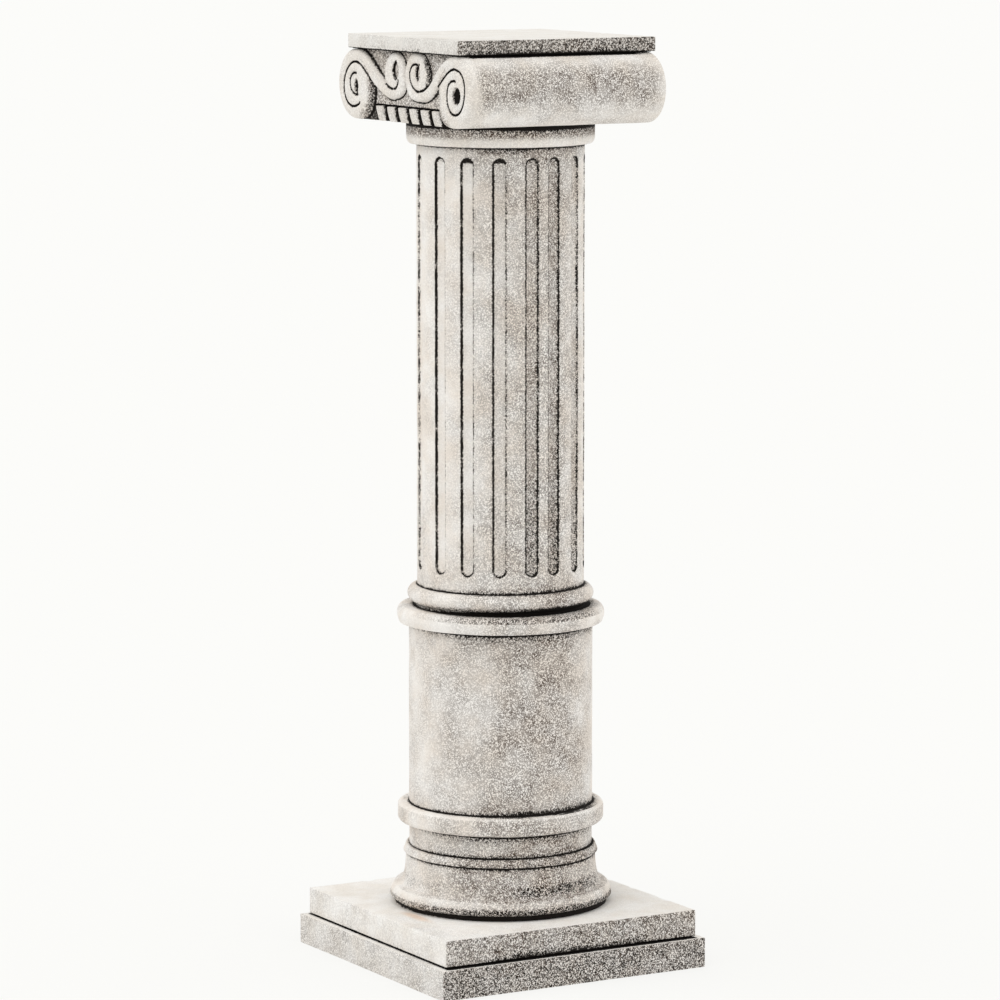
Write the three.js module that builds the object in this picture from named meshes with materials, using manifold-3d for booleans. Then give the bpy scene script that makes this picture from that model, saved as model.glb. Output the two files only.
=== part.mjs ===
// A free-standing column pedestal of cast stone: two square plinth slabs, a moulded drum, a fluted
// shaft, a capital with scrolls on two faces and a plain roll on each side, and a thin abacus slab.
// Millimetres, +Z up. The origin is the middle of the underside. The scrolls are carved on the faces
// towards -Y and +Y, and the side rolls lie along Y at -X and +X.

import * as THREE from "three";
import { mergeVertices } from "three/addons/utils/BufferGeometryUtils.js";
import Module from "manifold-3d";

const wasm = await Module();
wasm.setup();

// The bed joint that stays open between one cast piece and the next.
const bedJoint = 0.3;

// Square slabs. Each upper slab stands on a set-back foot, which leaves a shadow line under its edge.
const lowerSlabSide = 320;
const lowerSlabHeight = 31.6;
const upperSlabSide = 304.8;
const upperSlabHeight = 29.4;
const slabFootHeight = 2.4;
const slabFootInset = 5;
const slabEdgeWear = 1.2;

// The abacus is a thin slab, a little wider than the block under it is long.
const abacusOverhang = 1.6;
const abacusHeight = 15.8;

// Pedestal drum, from its foot upwards.
const drumRadius = 98.2;
const drumHeight = 195.8;
const drumFootRecess = 4.9;
const drumFootHeight = 5.1;
const torusRadius = 119;
const torusLowerHeight = 3;
const torusUpperHeight = 13.3;
const torusRound = 9;
const cavettoTopRadius = 101.6;
const cavettoFlare = 7.6;
const cavettoHeight = 32.7;
const filletRadius = 104.5;
const filletHeight = 8.8;
const filletSlope = 3.2;
const bandRadius = 98;
const bandHeight = 25.8;
const collarRadius = 110.4;
const collarHeight = 19.9;
const collarEdge = 4.5;
const capRollRadius = 110.8;
const capRollHeight = 17.6;
const capRollRound = 6;
const capRollLip = 2.2;
const capNeckRadius = 90.4;
const capNeckHeight = 2.4;

// Fluted shaft.
const shaftRadius = 89;
const shaftHeight = 469.4;
const baseRollRadius = 99.4;
const baseRollHeight = 18.6;
const baseNeckHeight = 0.8;
const fluteCount = 16;
const fluteWidth = 13.4;
const fluteDepth = 3.8;
const fluteLowerMargin = 19;
const fluteUpperMargin = 11.4;
const firstFluteAngle = 9.2;
// Four neighbouring flutes come from one section of the mould, which sat a little turned.
const turnedFlutes = 4;
const turnedSectionAngle = 5.3;

// Capital: a round necking ring and a block that is rounded into a roll at each side.
const neckingRadius = 99.7;
const neckingHeight = 23.5;
const neckingTaper = 4.2;
const neckingTaperHeight = 8.5;
const blockWidth = 290;
const blockLength = 234;
const blockHeight = 74;
const rollEdge = 3.5;

// Carving on the two scroll faces.
const panelDepth = 7;
const tongueBedDepth = 11.5;
const bandWidth = 12.6;
const bandSwell = 3;
const bandEdge = 2.6;
const bandReachShare = 0.4;
const bandStartInset = 3;
const bandSteps = 9;
const grooveWidth = 4.6;
const grooveDepth = 3.4;
const innerScrollRadius = 25;
const innerScrollDrop = 22.5;
const innerEyeRadius = 6.6;
const innerEyeLift = 2.5;
const voluteEyeRadius = 7.8;
const eyeStandOff = 1;
const tongueCount = 6;
const tongueWidth = 19;
const tongueGap = 5.5;
const tongueHeight = 15;
const tongueDepth = 3.4;
const tongueRowHeight = 18;
const tongueSlant = 8;
const tongueCorner = 4.2;

// Radii at each quarter turn, as shares of the scroll's own radius.
const voluteGrooveShares = [0.88, 0.65, 0.6, 0.6, 0.47, 0.35];
const voluteGrooveStart = 165;
const innerGrooveShares = [0.9, 0.68, 0.76, 0.46];
const innerGrooveStart = -10;
const innerOutlineShares = [0.8, 1.06, 1.04, 0.9, 0.8];

// Facets around and along the round forms.
const drumFacets = 36;
const shaftFacets = 44;
const rollFacets = 28;
const spiralSteps = 4;

const castStone = new THREE.MeshStandardMaterial({ color: 0xd8d2c8, roughness: 0.9, metalness: 0 });
const paleStone = new THREE.MeshStandardMaterial({ color: 0xe3ded6, roughness: 0.9, metalness: 0 });

function radians(degrees) {
  return THREE.MathUtils.degToRad(degrees);
}

// A closed geometry as a solid that can be joined and cut.
function toSolid(geometry) {
  const bare = geometry.clone();
  bare.deleteAttribute("normal");
  bare.deleteAttribute("uv");
  const merged = mergeVertices(bare, 1e-4);
  const index = merged.index.array;
  const triangles = [];
  for (let i = 0; i < index.length; i += 3) {
    const corners = [index[i], index[i + 1], index[i + 2]];
    if (new Set(corners).size === 3) {
      triangles.push(...corners);
    }
  }
  return new wasm.Manifold(new wasm.Mesh({
    numProp: 3,
    vertProperties: new Float32Array(merged.attributes.position.array),
    triVerts: new Uint32Array(triangles),
  }));
}

function toGeometry(solid) {
  const mesh = solid.getMesh();
  const geometry = new THREE.BufferGeometry();
  geometry.setAttribute("position", new THREE.BufferAttribute(mesh.vertProperties, 3));
  geometry.setIndex(new THREE.BufferAttribute(mesh.triVerts, 1));
  geometry.computeVertexNormals();
  return geometry;
}

function point(radius, height) {
  return new THREE.Vector2(radius, height);
}

// Points on part of an ellipse in a profile, in degrees from the outward direction.
function arc(centre, spread, from, to, steps) {
  return Array.from({ length: steps + 1 }, (_, i) => {
    const angle = radians(from + ((to - from) * i) / steps);
    return point(centre.x + spread.x * Math.cos(angle), centre.y + spread.y * Math.sin(angle));
  });
}

// A profile of radius and height turned about the upright axis.
function turned(profile, facets) {
  const height = profile[profile.length - 1].y;
  const closed = [point(0, profile[0].y), ...profile, point(0, height)];
  return toSolid(new THREE.LatheGeometry(closed, facets).rotateX(Math.PI / 2));
}

function box(width, length, height, centre) {
  const geometry = new THREE.BoxGeometry(width, length, height);
  return toSolid(geometry.translate(centre.x, centre.y, centre.z));
}

// An outline in the scroll face's own plane, thickened outwards between two distances from the
// block's middle. Its ends are bevelled, and so its outer edge is.
function raised(outline, from, to, bevel) {
  const geometry = new THREE.ExtrudeGeometry(outline, {
    depth: to - from - 2 * bevel,
    bevelThickness: bevel,
    bevelSize: bevel,
    bevelOffset: -bevel,
    bevelSegments: 1,
    curveSegments: 1,
  });
  return toSolid(geometry.translate(0, 0, from + bevel));
}

// A closed outline of a given half width on both sides of a centre line.
function ribbon(centreLine, halfWidths) {
  const sides = centreLine.map((place, i) => {
    const before = centreLine[Math.max(i - 1, 0)];
    const after = centreLine[Math.min(i + 1, centreLine.length - 1)];
    const along = after.clone().sub(before).normalize();
    const across = point(-along.y, along.x).multiplyScalar(halfWidths[i]);
    return { left: place.clone().add(across), right: place.clone().sub(across) };
  });
  const outline = [...sides.map((side) => side.left), ...sides.map((side) => side.right).reverse()];
  return new THREE.Shape(outline);
}

// A spiral drawn as an Ionic volute is, a quarter turn at a time, each quarter ending at its own
// radius. It winds clockwise from the start angle.
function spiral(centre, startAngle, radii, stepsPerQuarter) {
  const places = [];
  for (let step = 0; step <= (radii.length - 1) * stepsPerQuarter; step += 1) {
    const turn = step / stepsPerQuarter;
    const quarter = Math.min(Math.floor(turn), radii.length - 2);
    const ease = THREE.MathUtils.smoothstep(turn - quarter, 0, 1);
    const radius = THREE.MathUtils.lerp(radii[quarter], radii[quarter + 1], ease);
    const angle = radians(startAngle - 90 * turn);
    places.push(point(centre.x + radius * Math.cos(angle), centre.y + radius * Math.sin(angle)));
  }
  return places;
}

function mirrored(solid) {
  return solid.mirror([1, 0, 0]);
}

function squareSlab(side, height, footHeight) {
  const half = side / 2;
  const outline = new THREE.Shape([
    point(-half, -half),
    point(half, -half),
    point(half, half),
    point(-half, half),
  ]);
  const slab = raised(outline, footHeight, height, slabEdgeWear);
  if (footHeight === 0) {
    return slab;
  }
  const footSide = side - 2 * slabFootInset;
  const footTop = footHeight + slabEdgeWear;
  return slab.add(box(footSide, footSide, footTop, new THREE.Vector3(0, 0, footTop / 2)));
}

function pedestalDrum() {
  const torusFoot = drumFootHeight;
  const torusCrest = torusFoot + torusLowerHeight;
  const torusTop = torusCrest + torusUpperHeight;
  const cavettoTop = torusTop + cavettoHeight;
  const filletTop = cavettoTop + filletHeight;
  const bandTop = filletTop + bandHeight;
  const collarTop = bandTop + collarHeight;
  const drumTop = collarTop + drumHeight;
  const capTop = drumTop + capRollHeight;
  const neckTop = capTop + capNeckHeight;
  const footRadius = torusRadius - drumFootRecess;
  const torusCentre = point(torusRadius - torusRound, torusCrest);
  const cavettoCentre = point(cavettoTopRadius + cavettoFlare, cavettoTop);
  const capCentre = point(capRollRadius - capRollRound, capTop - capRollHeight / 2);
  const capUpper = point(capRollRound, capRollHeight / 2);
  const profile = [
    point(footRadius, 0),
    point(footRadius, torusFoot),
    ...arc(torusCentre, point(torusRound, torusLowerHeight), -50, 0, 2),
    ...arc(torusCentre, point(torusRound, torusUpperHeight), 25, 90, 3),
    ...arc(cavettoCentre, point(cavettoFlare, cavettoHeight), 270, 180, 4),
    point(filletRadius, cavettoTop + 0.1 * filletHeight),
    point(filletRadius - filletSlope, filletTop),
    point(bandRadius, filletTop),
    point(bandRadius, bandTop),
    point(collarRadius - collarEdge, bandTop),
    point(collarRadius, bandTop + collarEdge),
    point(collarRadius, collarTop - collarEdge),
    point(collarRadius - collarEdge, collarTop),
    point(drumRadius, collarTop),
    point(drumRadius, drumTop),
    point(capRollRadius - capRollLip, drumTop),
    ...arc(capCentre, capUpper, -20, 80, 4),
    point(capNeckRadius, capTop),
    point(capNeckRadius, neckTop),
  ];
  return { solid: turned(profile, drumFacets), height: neckTop };
}

// A round-ended cutter as long as a flute, widest where it meets the shaft's surface.
function fluteCutter(length) {
  const halfWidth = fluteWidth / 2;
  const capsule = new THREE.CapsuleGeometry(halfWidth, length - fluteWidth, 3, 10);
  capsule.scale(1, 1, fluteDepth / halfWidth);
  capsule.rotateX(Math.PI / 2);
  capsule.rotateZ(Math.PI / 2);
  return capsule;
}

function fluteAngles() {
  const pitch = 360 / fluteCount;
  return Array.from({ length: fluteCount }, (_, i) => {
    const inTurnedSection = i > 0 && i <= turnedFlutes;
    return firstFluteAngle - i * pitch + (inTurnedSection ? turnedSectionAngle : 0);
  });
}

function flutedShaft() {
  const rollFoot = baseNeckHeight;
  const rollTop = rollFoot + baseRollHeight;
  const shaftTop = rollTop + shaftHeight;
  const rollHalf = baseRollHeight / 2;
  const rollCentre = point(shaftRadius, rollFoot + rollHalf);
  const rollSpread = point(baseRollRadius - shaftRadius, rollHalf);
  const profile = [
    point(capNeckRadius, 0),
    point(capNeckRadius, rollFoot),
    ...arc(rollCentre, rollSpread, -80, 80, 7),
    point(shaftRadius, rollTop),
    point(shaftRadius, shaftTop),
  ];
  const shaft = turned(profile, shaftFacets);
  const fluteFoot = rollTop + fluteLowerMargin;
  const fluteTop = shaftTop - fluteUpperMargin;
  const length = fluteTop - fluteFoot;
  const cutterRadius = Math.sqrt(shaftRadius ** 2 - (fluteWidth / 2) ** 2);
  const cutters = fluteAngles().map((angle) => {
    const cutter = fluteCutter(length);
    cutter.translate(cutterRadius, 0, fluteFoot + length / 2);
    return toSolid(cutter.rotateZ(radians(angle)));
  });
  return { solid: shaft.subtract(wasm.Manifold.union(cutters)), height: shaftTop };
}

// The carving of one scroll face, drawn for its right half and mirrored to the left. Horizontal is
// measured from the middle, vertical from the block's underside, and depth from the block's middle.
function scrollFace() {
  const faceDepth = blockLength / 2;
  const panel = faceDepth - panelDepth;
  const rooted = panel - 2 * bandEdge;
  const rollRadius = blockHeight / 2;
  const voluteCentre = point(blockWidth / 2 - rollRadius, rollRadius);
  const innerCentre = point(innerScrollRadius, blockHeight - innerScrollDrop);

  const bandStart = point(voluteCentre.x - bandStartInset, blockHeight - bandWidth / 2);
  const bandEndRise = innerCentre.y - innerScrollRadius + bandEdge;
  const bandEnd = point(innerCentre.x + bandStartInset, bandEndRise);
  const bandReach = bandReachShare * (bandStart.x - bandEnd.x);
  const bandCurve = new THREE.CubicBezierCurve(
    bandStart,
    point(bandStart.x - bandReach, bandStart.y),
    point(bandEnd.x + bandReach, bandEnd.y),
    bandEnd,
  );
  const bandHalves = Array.from({ length: bandSteps + 1 }, (_, i) => {
    return (bandWidth + bandSwell * Math.sin((Math.PI * i) / bandSteps)) / 2;
  });
  const band = raised(ribbon(bandCurve.getPoints(bandSteps), bandHalves), rooted, faceDepth, bandEdge);

  const innerRadii = innerOutlineShares.map((share) => share * innerScrollRadius);
  const innerOutline = new THREE.Shape(spiral(innerCentre, 0, innerRadii, spiralSteps).slice(0, -1));
  const innerScroll = raised(innerOutline, rooted, faceDepth, bandEdge);

  const voluteRadii = voluteGrooveShares.map((share) => share * rollRadius);
  const voluteGroove = spiral(voluteCentre, voluteGrooveStart, voluteRadii, spiralSteps);
  const innerGrooveRadii = innerGrooveShares.map((share) => share * innerScrollRadius);
  const innerGroove = spiral(innerCentre, innerGrooveStart, innerGrooveRadii, spiralSteps);
  const grooveBottom = faceDepth - grooveDepth;
  const grooveBevel = 0.42 * grooveWidth;
  const cutters = [voluteGroove, innerGroove].map((path) => {
    const halfWidths = path.map(() => grooveWidth / 2);
    return raised(ribbon(path, halfWidths), grooveBottom, faceDepth + grooveDepth, grooveBevel);
  });
  const voluteEye = new THREE.SphereGeometry(voluteEyeRadius, 10, 6);
  voluteEye.translate(voluteCentre.x, voluteCentre.y, faceDepth + eyeStandOff);
  const innerEye = new THREE.SphereGeometry(innerEyeRadius, 8, 6).scale(0.9, 1.3, 1);
  innerEye.translate(innerCentre.x, innerCentre.y + innerEyeLift, faceDepth + eyeStandOff);
  cutters.push(toSolid(voluteEye), toSolid(innerEye));

  const tonguePitch = tongueWidth + tongueGap;
  const tongueBed = faceDepth - tongueBedDepth;
  const tongueFront = faceDepth - tongueDepth;
  const tongues = Array.from({ length: tongueCount }, (_, i) => {
    const centreX = (i - (tongueCount - 1) / 2) * tonguePitch;
    const half = tongueWidth / 2;
    const outline = new THREE.Shape([
      point(-half, tongueHeight),
      point(-half, tongueCorner),
      point(-half + tongueCorner, 0),
      point(half - tongueCorner, 0),
      point(half, tongueCorner),
      point(half, tongueHeight),
    ]);
    const tongue = new THREE.ExtrudeGeometry(outline, {
      depth: tongueFront - tongueBed,
      bevelThickness: bandEdge,
      bevelSize: bandEdge,
      bevelOffset: -bandEdge,
      bevelSegments: 1,
    });
    tongue.translate(0, 0, -bandEdge);
    tongue.rotateX(radians(tongueSlant));
    return toSolid(tongue.translate(centreX, 0.5 * (tongueRowHeight - tongueHeight), tongueBed));
  });

  const added = wasm.Manifold.union([band, innerScroll, mirrored(band), mirrored(innerScroll), ...tongues]);
  const removed = wasm.Manifold.union([...cutters, ...cutters.map(mirrored)]);
  return { added, removed };
}

// From the scroll face's own plane, where depth is +Z, to the front, where depth is -Y.
function onFront(solid) {
  return solid.rotate([90, 0, 0]);
}

function onBack(solid) {
  return onFront(solid).rotate([0, 0, 180]);
}

function scrollCapital() {
  const rollRadius = blockHeight / 2;
  const faceDepth = blockLength / 2;
  const rollProfile = [
    point(rollRadius - rollEdge, -faceDepth),
    point(rollRadius, rollEdge - faceDepth),
    point(rollRadius, faceDepth - rollEdge),
    point(rollRadius - rollEdge, faceDepth),
  ];
  const rollOffset = blockWidth / 2 - rollRadius;
  const roll = turned(rollProfile, rollFacets).rotate([90, 0, 0]).translate([rollOffset, 0, rollRadius]);
  const panelLength = blockLength - 2 * panelDepth;
  const bedLength = blockLength - 2 * tongueBedDepth;
  const panelHeight = blockHeight - tongueRowHeight;
  const panelCentre = new THREE.Vector3(0, 0, tongueRowHeight + panelHeight / 2);
  const bedCentre = new THREE.Vector3(0, 0, blockHeight / 2);
  const panelCore = box(2 * rollOffset, panelLength, panelHeight, panelCentre);
  const bedCore = box(2 * rollOffset, bedLength, blockHeight, bedCentre);
  const face = scrollFace();
  const block = wasm.Manifold.union([
    panelCore,
    bedCore,
    roll,
    mirrored(roll),
    onFront(face.added),
    onBack(face.added),
  ]).subtract(onFront(face.removed)).subtract(onBack(face.removed));
  // Nothing of the carving stands above the bed that the abacus rests on.
  const above = box(2 * blockWidth, 2 * blockLength, blockHeight, new THREE.Vector3(0, 0, 1.5 * blockHeight));
  const trimmed = block.subtract(above).translate([0, 0, neckingHeight]);
  const ring = turned([
    point(neckingRadius - neckingTaper, 0),
    point(neckingRadius - 0.4 * neckingTaper, 0.5 * neckingTaperHeight),
    point(neckingRadius, neckingTaperHeight),
    point(neckingRadius, neckingHeight + bedJoint),
  ], drumFacets);
  return { solid: trimmed.add(ring), height: neckingHeight + blockHeight };
}

const abacusSide = blockLength + 2 * abacusOverhang;
const pieces = [
  {
    name: "lower_plinth_slab",
    material: castStone,
    solid: squareSlab(lowerSlabSide, lowerSlabHeight, 0),
    height: lowerSlabHeight,
  },
  {
    name: "upper_plinth_slab",
    material: castStone,
    solid: squareSlab(upperSlabSide, upperSlabHeight, slabFootHeight),
    height: upperSlabHeight,
  },
  { name: "pedestal_drum", material: castStone, ...pedestalDrum() },
  { name: "fluted_shaft", material: castStone, ...flutedShaft() },
  { name: "scroll_capital", material: paleStone, ...scrollCapital() },
  {
    name: "abacus_slab",
    material: paleStone,
    solid: squareSlab(abacusSide, abacusHeight, slabFootHeight),
    height: abacusHeight,
  },
];

const column = new THREE.Group();
column.name = "column_pedestal";
let level = 0;
for (const piece of pieces) {
  const mesh = new THREE.Mesh(toGeometry(piece.solid), piece.material);
  mesh.name = piece.name;
  mesh.position.z = level;
  column.add(mesh);
  level += piece.height + bedJoint;
}

export default column;
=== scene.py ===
import math

import bmesh
import bpy
from mathutils import Matrix, Vector, noise
from mathutils.kdtree import KDTree


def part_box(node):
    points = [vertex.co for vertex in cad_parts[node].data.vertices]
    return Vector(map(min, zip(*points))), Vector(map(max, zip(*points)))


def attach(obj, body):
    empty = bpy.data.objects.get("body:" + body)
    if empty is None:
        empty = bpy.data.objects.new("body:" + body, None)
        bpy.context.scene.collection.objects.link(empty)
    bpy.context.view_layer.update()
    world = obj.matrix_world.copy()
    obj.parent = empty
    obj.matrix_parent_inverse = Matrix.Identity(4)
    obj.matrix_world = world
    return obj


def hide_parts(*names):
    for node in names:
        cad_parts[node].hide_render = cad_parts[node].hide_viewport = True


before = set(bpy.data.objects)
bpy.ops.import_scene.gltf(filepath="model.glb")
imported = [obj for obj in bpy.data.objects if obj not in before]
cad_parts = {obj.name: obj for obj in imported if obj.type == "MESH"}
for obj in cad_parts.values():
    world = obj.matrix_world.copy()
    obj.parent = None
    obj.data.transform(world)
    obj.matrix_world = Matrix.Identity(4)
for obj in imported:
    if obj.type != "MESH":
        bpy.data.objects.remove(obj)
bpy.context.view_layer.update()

# The camera stands at the photograph's angle: right of the scroll face and a little above the column's
# middle, looking slightly down with a long lens. The long lens keeps the upright lines nearly parallel.
camera_place = (4.500, -2.581, 1.2042)
camera_down = math.radians(7.786)
camera_heading = math.radians(60.17)
sensor_width = 36.0
pixels_across = 1000
focal_pixels = 4912

camera_data = bpy.data.cameras.new("photo_camera")
camera_data.sensor_width = sensor_width
camera_data.lens = sensor_width * focal_pixels / pixels_across
camera_data.clip_end = 200
camera = bpy.data.objects.new("photo_camera", camera_data)
camera.location = camera_place
camera.rotation_euler = (math.pi / 2 - camera_down, 0, camera_heading)
bpy.context.scene.collection.objects.link(camera)
bpy.context.scene.camera = camera


# The studio: a pale floor that runs on behind the column, an even pale surround, one very broad soft
# light high up on the photograph's left, and a weak one behind on the right. The floor gives back much
# of the light, as white paper does, so surfaces that look down are nearly as bright as those that look up.
def linear(hex_colour):
    channels = [int(hex_colour[i:i + 2], 16) / 255 for i in (1, 3, 5)]
    curve = [c / 12.92 if c <= 0.04045 else ((c + 0.055) / 1.055) ** 2.4 for c in channels]
    return (*curve, 1.0)


def add_node(tree, kind, settings={}, inputs={}):
    made = tree.nodes.new(kind)
    for name, value in settings.items():
        setattr(made, name, value)
    for name, value in inputs.items():
        if isinstance(value, bpy.types.NodeSocket):
            tree.links.new(value, made.inputs[name])
        else:
            made.inputs[name].default_value = value
    return made


surround_colour = "#FDFCF9"
surround_strength = 0.79
floor_colour = "#FCFCFA"
floor_shade = "#7C7C7B"
floor_glow = 0.77
floor_reach = 90
studio_lights = [
    {"name": "soft_key", "strength": 0.9, "elevation": 60, "heading": -97, "spread": 60},
    {"name": "soft_back_light", "strength": 0.55, "elevation": 30, "heading": 55, "spread": 80},
]

world = bpy.data.worlds.new("studio")
world.use_nodes = True
world.node_tree.nodes["Background"].inputs["Color"].default_value = linear(surround_colour)
world.node_tree.nodes["Background"].inputs["Strength"].default_value = surround_strength
bpy.context.scene.world = world
bpy.context.scene.view_settings.view_transform = "Standard"

for light in studio_lights:
    light_data = bpy.data.lights.new(light["name"], "SUN")
    light_data.energy = light["strength"]
    light_data.angle = math.radians(light["spread"])
    lamp = bpy.data.objects.new(light["name"], light_data)
    lamp.rotation_euler = (math.radians(90 - light["elevation"]), 0, math.radians(light["heading"] + 90))
    bpy.context.scene.collection.objects.link(lamp)

floor_paper = bpy.data.materials.new("matt_floor_paper")
floor_paper.use_nodes = True
floor_paper.node_tree.nodes.clear()
paper_diffuse = add_node(
    floor_paper.node_tree,
    "ShaderNodeBsdfDiffuse",
    inputs={"Color": linear(floor_shade)},
)
paper_glow = add_node(
    floor_paper.node_tree,
    "ShaderNodeEmission",
    inputs={"Color": linear(floor_colour), "Strength": floor_glow},
)
paper_both = add_node(
    floor_paper.node_tree,
    "ShaderNodeAddShader",
    inputs={0: paper_diffuse.outputs[0], 1: paper_glow.outputs[0]},
)
add_node(floor_paper.node_tree, "ShaderNodeOutputMaterial", inputs={"Surface": paper_both.outputs[0]})
floor_mesh = bmesh.new()
bmesh.ops.create_grid(floor_mesh, x_segments=1, y_segments=1, size=floor_reach)
floor_data = bpy.data.meshes.new("studio_floor")
floor_mesh.to_mesh(floor_data)
floor_mesh.free()
floor_data.materials.append(floor_paper)
studio_floor = bpy.data.objects.new("studio_floor", floor_data)
bpy.context.scene.collection.objects.link(studio_floor)


# Square slabs: two plinth slabs and the abacus, each cast flat in an open mould. Their arrises are crisp
# but a little worn, and each upper slab stands on a set-back foot; its joint is painted dark, dirt and
# painted shade in the recess.
mm = 0.001
slab_arris = 0.9 * mm
slab_slice = 4.0 * mm
slab_foot_height = 1.4 * mm
abacus_foot_height = 0.9 * mm
slab_foot_inset = 5 * mm
slab_levels = 5
chip_reach = 3 * mm
crisp_edge = math.radians(40)


def cast_stone(name, pale, warm):
    """Cast stone, a fine cement and marble-dust mix tamped into a mould: dead matt, faintly mottled, and
    stippled all over where the rough skin of the casting holds dirt in short worm-like marks. How much
    dirt lies where, and where shade is painted, comes from the mesh: weather is a grey stipple and grime
    is black, both of them dirt and in places painted shade, and rust is a pale stain."""
    material = bpy.data.materials.new(name)
    material.use_nodes = True
    tree = material.node_tree
    tree.nodes.clear()
    place = add_node(tree, "ShaderNodeTexCoord").outputs["Object"]
    weather_and_shade = add_node(tree, "ShaderNodeAttribute", {"attribute_name": "weather_and_shade"}).outputs["Fac"]
    grime_and_shade = add_node(tree, "ShaderNodeAttribute", {"attribute_name": "grime_and_shade"}).outputs["Fac"]
    rust = add_node(tree, "ShaderNodeAttribute", {"attribute_name": "rust"}).outputs["Fac"]

    mottle_width = 38 * mm
    mottle = add_node(tree, "ShaderNodeTexNoise", inputs={
        "Vector": place, "Scale": 1 / mottle_width, "Detail": 3.0, "Roughness": 0.6})
    mottle_range = add_node(tree, "ShaderNodeMapRange", inputs={
        "Value": mottle.outputs["Fac"], "From Min": 0.36, "From Max": 0.66})
    ground = add_node(tree, "ShaderNodeMix", {"data_type": "RGBA"}, {
        0: mottle_range.outputs[0], 6: linear(pale), 7: linear(warm)})

    # The worm marks are under a millimetre wide and lie 1 to 2 mm apart. They are the level lines of a
    # noise.
    worm_width = 2.1 * mm
    worm_colour = "#38261A"
    worm = add_node(tree, "ShaderNodeTexNoise", inputs={
        "Vector": place, "Scale": 1 / worm_width, "Detail": 1.0, "Roughness": 0.5, "Distortion": 0.3})
    from_level = add_node(tree, "ShaderNodeMath", {"operation": "SUBTRACT"}, {
        0: worm.outputs["Fac"], 1: 0.5})
    off_level = add_node(tree, "ShaderNodeMath", {"operation": "ABSOLUTE"}, {0: from_level.outputs[0]})
    worm_line = add_node(tree, "ShaderNodeMapRange", {"interpolation_type": "SMOOTHSTEP"}, {
        "Value": off_level.outputs[0], "From Min": 0.04, "From Max": 0.13, "To Min": 1.0, "To Max": 0.0})

    patch_width = 14 * mm
    patch = add_node(tree, "ShaderNodeTexNoise", inputs={
        "Vector": place, "Scale": 1 / patch_width, "Detail": 2.0, "Roughness": 0.6})
    patch_range = add_node(tree, "ShaderNodeMapRange", inputs={
        "Value": patch.outputs["Fac"], "From Min": 0.32, "From Max": 0.68, "To Min": 0.65, "To Max": 1.0})
    # The weather stipple is dirt, and in places painted shade.
    weather_and_shade_range = add_node(tree, "ShaderNodeMapRange", inputs={
        "Value": weather_and_shade, "To Min": 0.12, "To Max": 1.0})
    worm_patchy = add_node(tree, "ShaderNodeMath", {"operation": "MULTIPLY"}, {
        0: worm_line.outputs[0], 1: patch_range.outputs[0]})
    worm_amount = add_node(tree, "ShaderNodeMath", {"operation": "MULTIPLY"}, {
        0: worm_patchy.outputs[0], 1: weather_and_shade_range.outputs[0]})
    stippled = add_node(tree, "ShaderNodeMix", {"data_type": "RGBA"}, {
        0: worm_amount.outputs[0], 6: ground.outputs[2], 7: linear(worm_colour)})

    # A thin brown film lies over the stippled and the dirty stone and over its painted shade, and the rust
    # tints it.
    film_colour = "#755A40"
    rust_colour = "#EFC7A4"
    weather_and_shade_film = add_node(tree, "ShaderNodeMath", {"operation": "MULTIPLY"}, {0: weather_and_shade, 1: 0.11})
    film = add_node(tree, "ShaderNodeMath", {"operation": "MULTIPLY_ADD"}, {
        0: grime_and_shade, 1: 0.3, 2: weather_and_shade_film.outputs[0]})
    filmed = add_node(tree, "ShaderNodeMix", {"data_type": "RGBA"}, {
        0: film.outputs[0], 6: stippled.outputs[2], 7: linear(film_colour)})
    rusted = add_node(tree, "ShaderNodeMix", {"data_type": "RGBA", "blend_type": "MULTIPLY"}, {
        0: rust, 6: filmed.outputs[2], 7: linear(rust_colour)})

    # Black dirt and painted shade fray at their edge into the same worm marks.
    ragged_width = 2.6 * mm
    grime_and_shade_colour = "#15100C"
    ragged = add_node(tree, "ShaderNodeTexNoise", inputs={
        "Vector": place, "Scale": 1 / ragged_width, "Detail": 2.0, "Roughness": 0.6})
    grime_and_shade_ragged = add_node(tree, "ShaderNodeMath", {"operation": "MULTIPLY_ADD"}, {
        0: ragged.outputs["Fac"], 1: 0.75, 2: grime_and_shade})
    grime_and_shade_worms = add_node(tree, "ShaderNodeMath", {"operation": "MULTIPLY_ADD"}, {
        0: worm_line.outputs[0], 1: 0.26, 2: grime_and_shade_ragged.outputs[0]})
    grime_and_shade_range = add_node(tree, "ShaderNodeMapRange", {"interpolation_type": "SMOOTHSTEP"}, {
        "Value": grime_and_shade_worms.outputs[0], "From Min": 0.78, "From Max": 1.16})
    coloured = add_node(tree, "ShaderNodeMix", {"data_type": "RGBA"}, {
        0: grime_and_shade_range.outputs[0], 6: rusted.outputs[2], 7: linear(grime_and_shade_colour)})

    # Grit stands out of the skin, and the worm marks lie a little below it.
    grit_width = 1.3 * mm
    grit_height = 0.35 * mm
    grit = add_node(tree, "ShaderNodeTexNoise", inputs={
        "Vector": place, "Scale": 1 / grit_width, "Detail": 2.0, "Roughness": 0.6})
    relief = add_node(tree, "ShaderNodeMath", {"operation": "MULTIPLY_ADD"}, {
        0: worm_line.outputs[0], 1: -0.6, 2: grit.outputs["Fac"]})
    bump = add_node(tree, "ShaderNodeBump", inputs={
        "Height": relief.outputs[0], "Strength": 0.5, "Distance": grit_height})
    skin = add_node(tree, "ShaderNodeBsdfPrincipled", inputs={
        "Base Color": coloured.outputs[2], "Roughness": 0.9, "Specular IOR Level": 0.25,
        "Normal": bump.outputs[0]})
    add_node(tree, "ShaderNodeOutputMaterial", inputs={"Surface": skin.outputs[0]})
    return material


def smooth(value, low, high):
    """A soft step from 0 at the low value to 1 at the high one."""
    share = min(max((value - low) / (high - low), 0), 1)
    return share * share * (3 - 2 * share)


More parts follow.
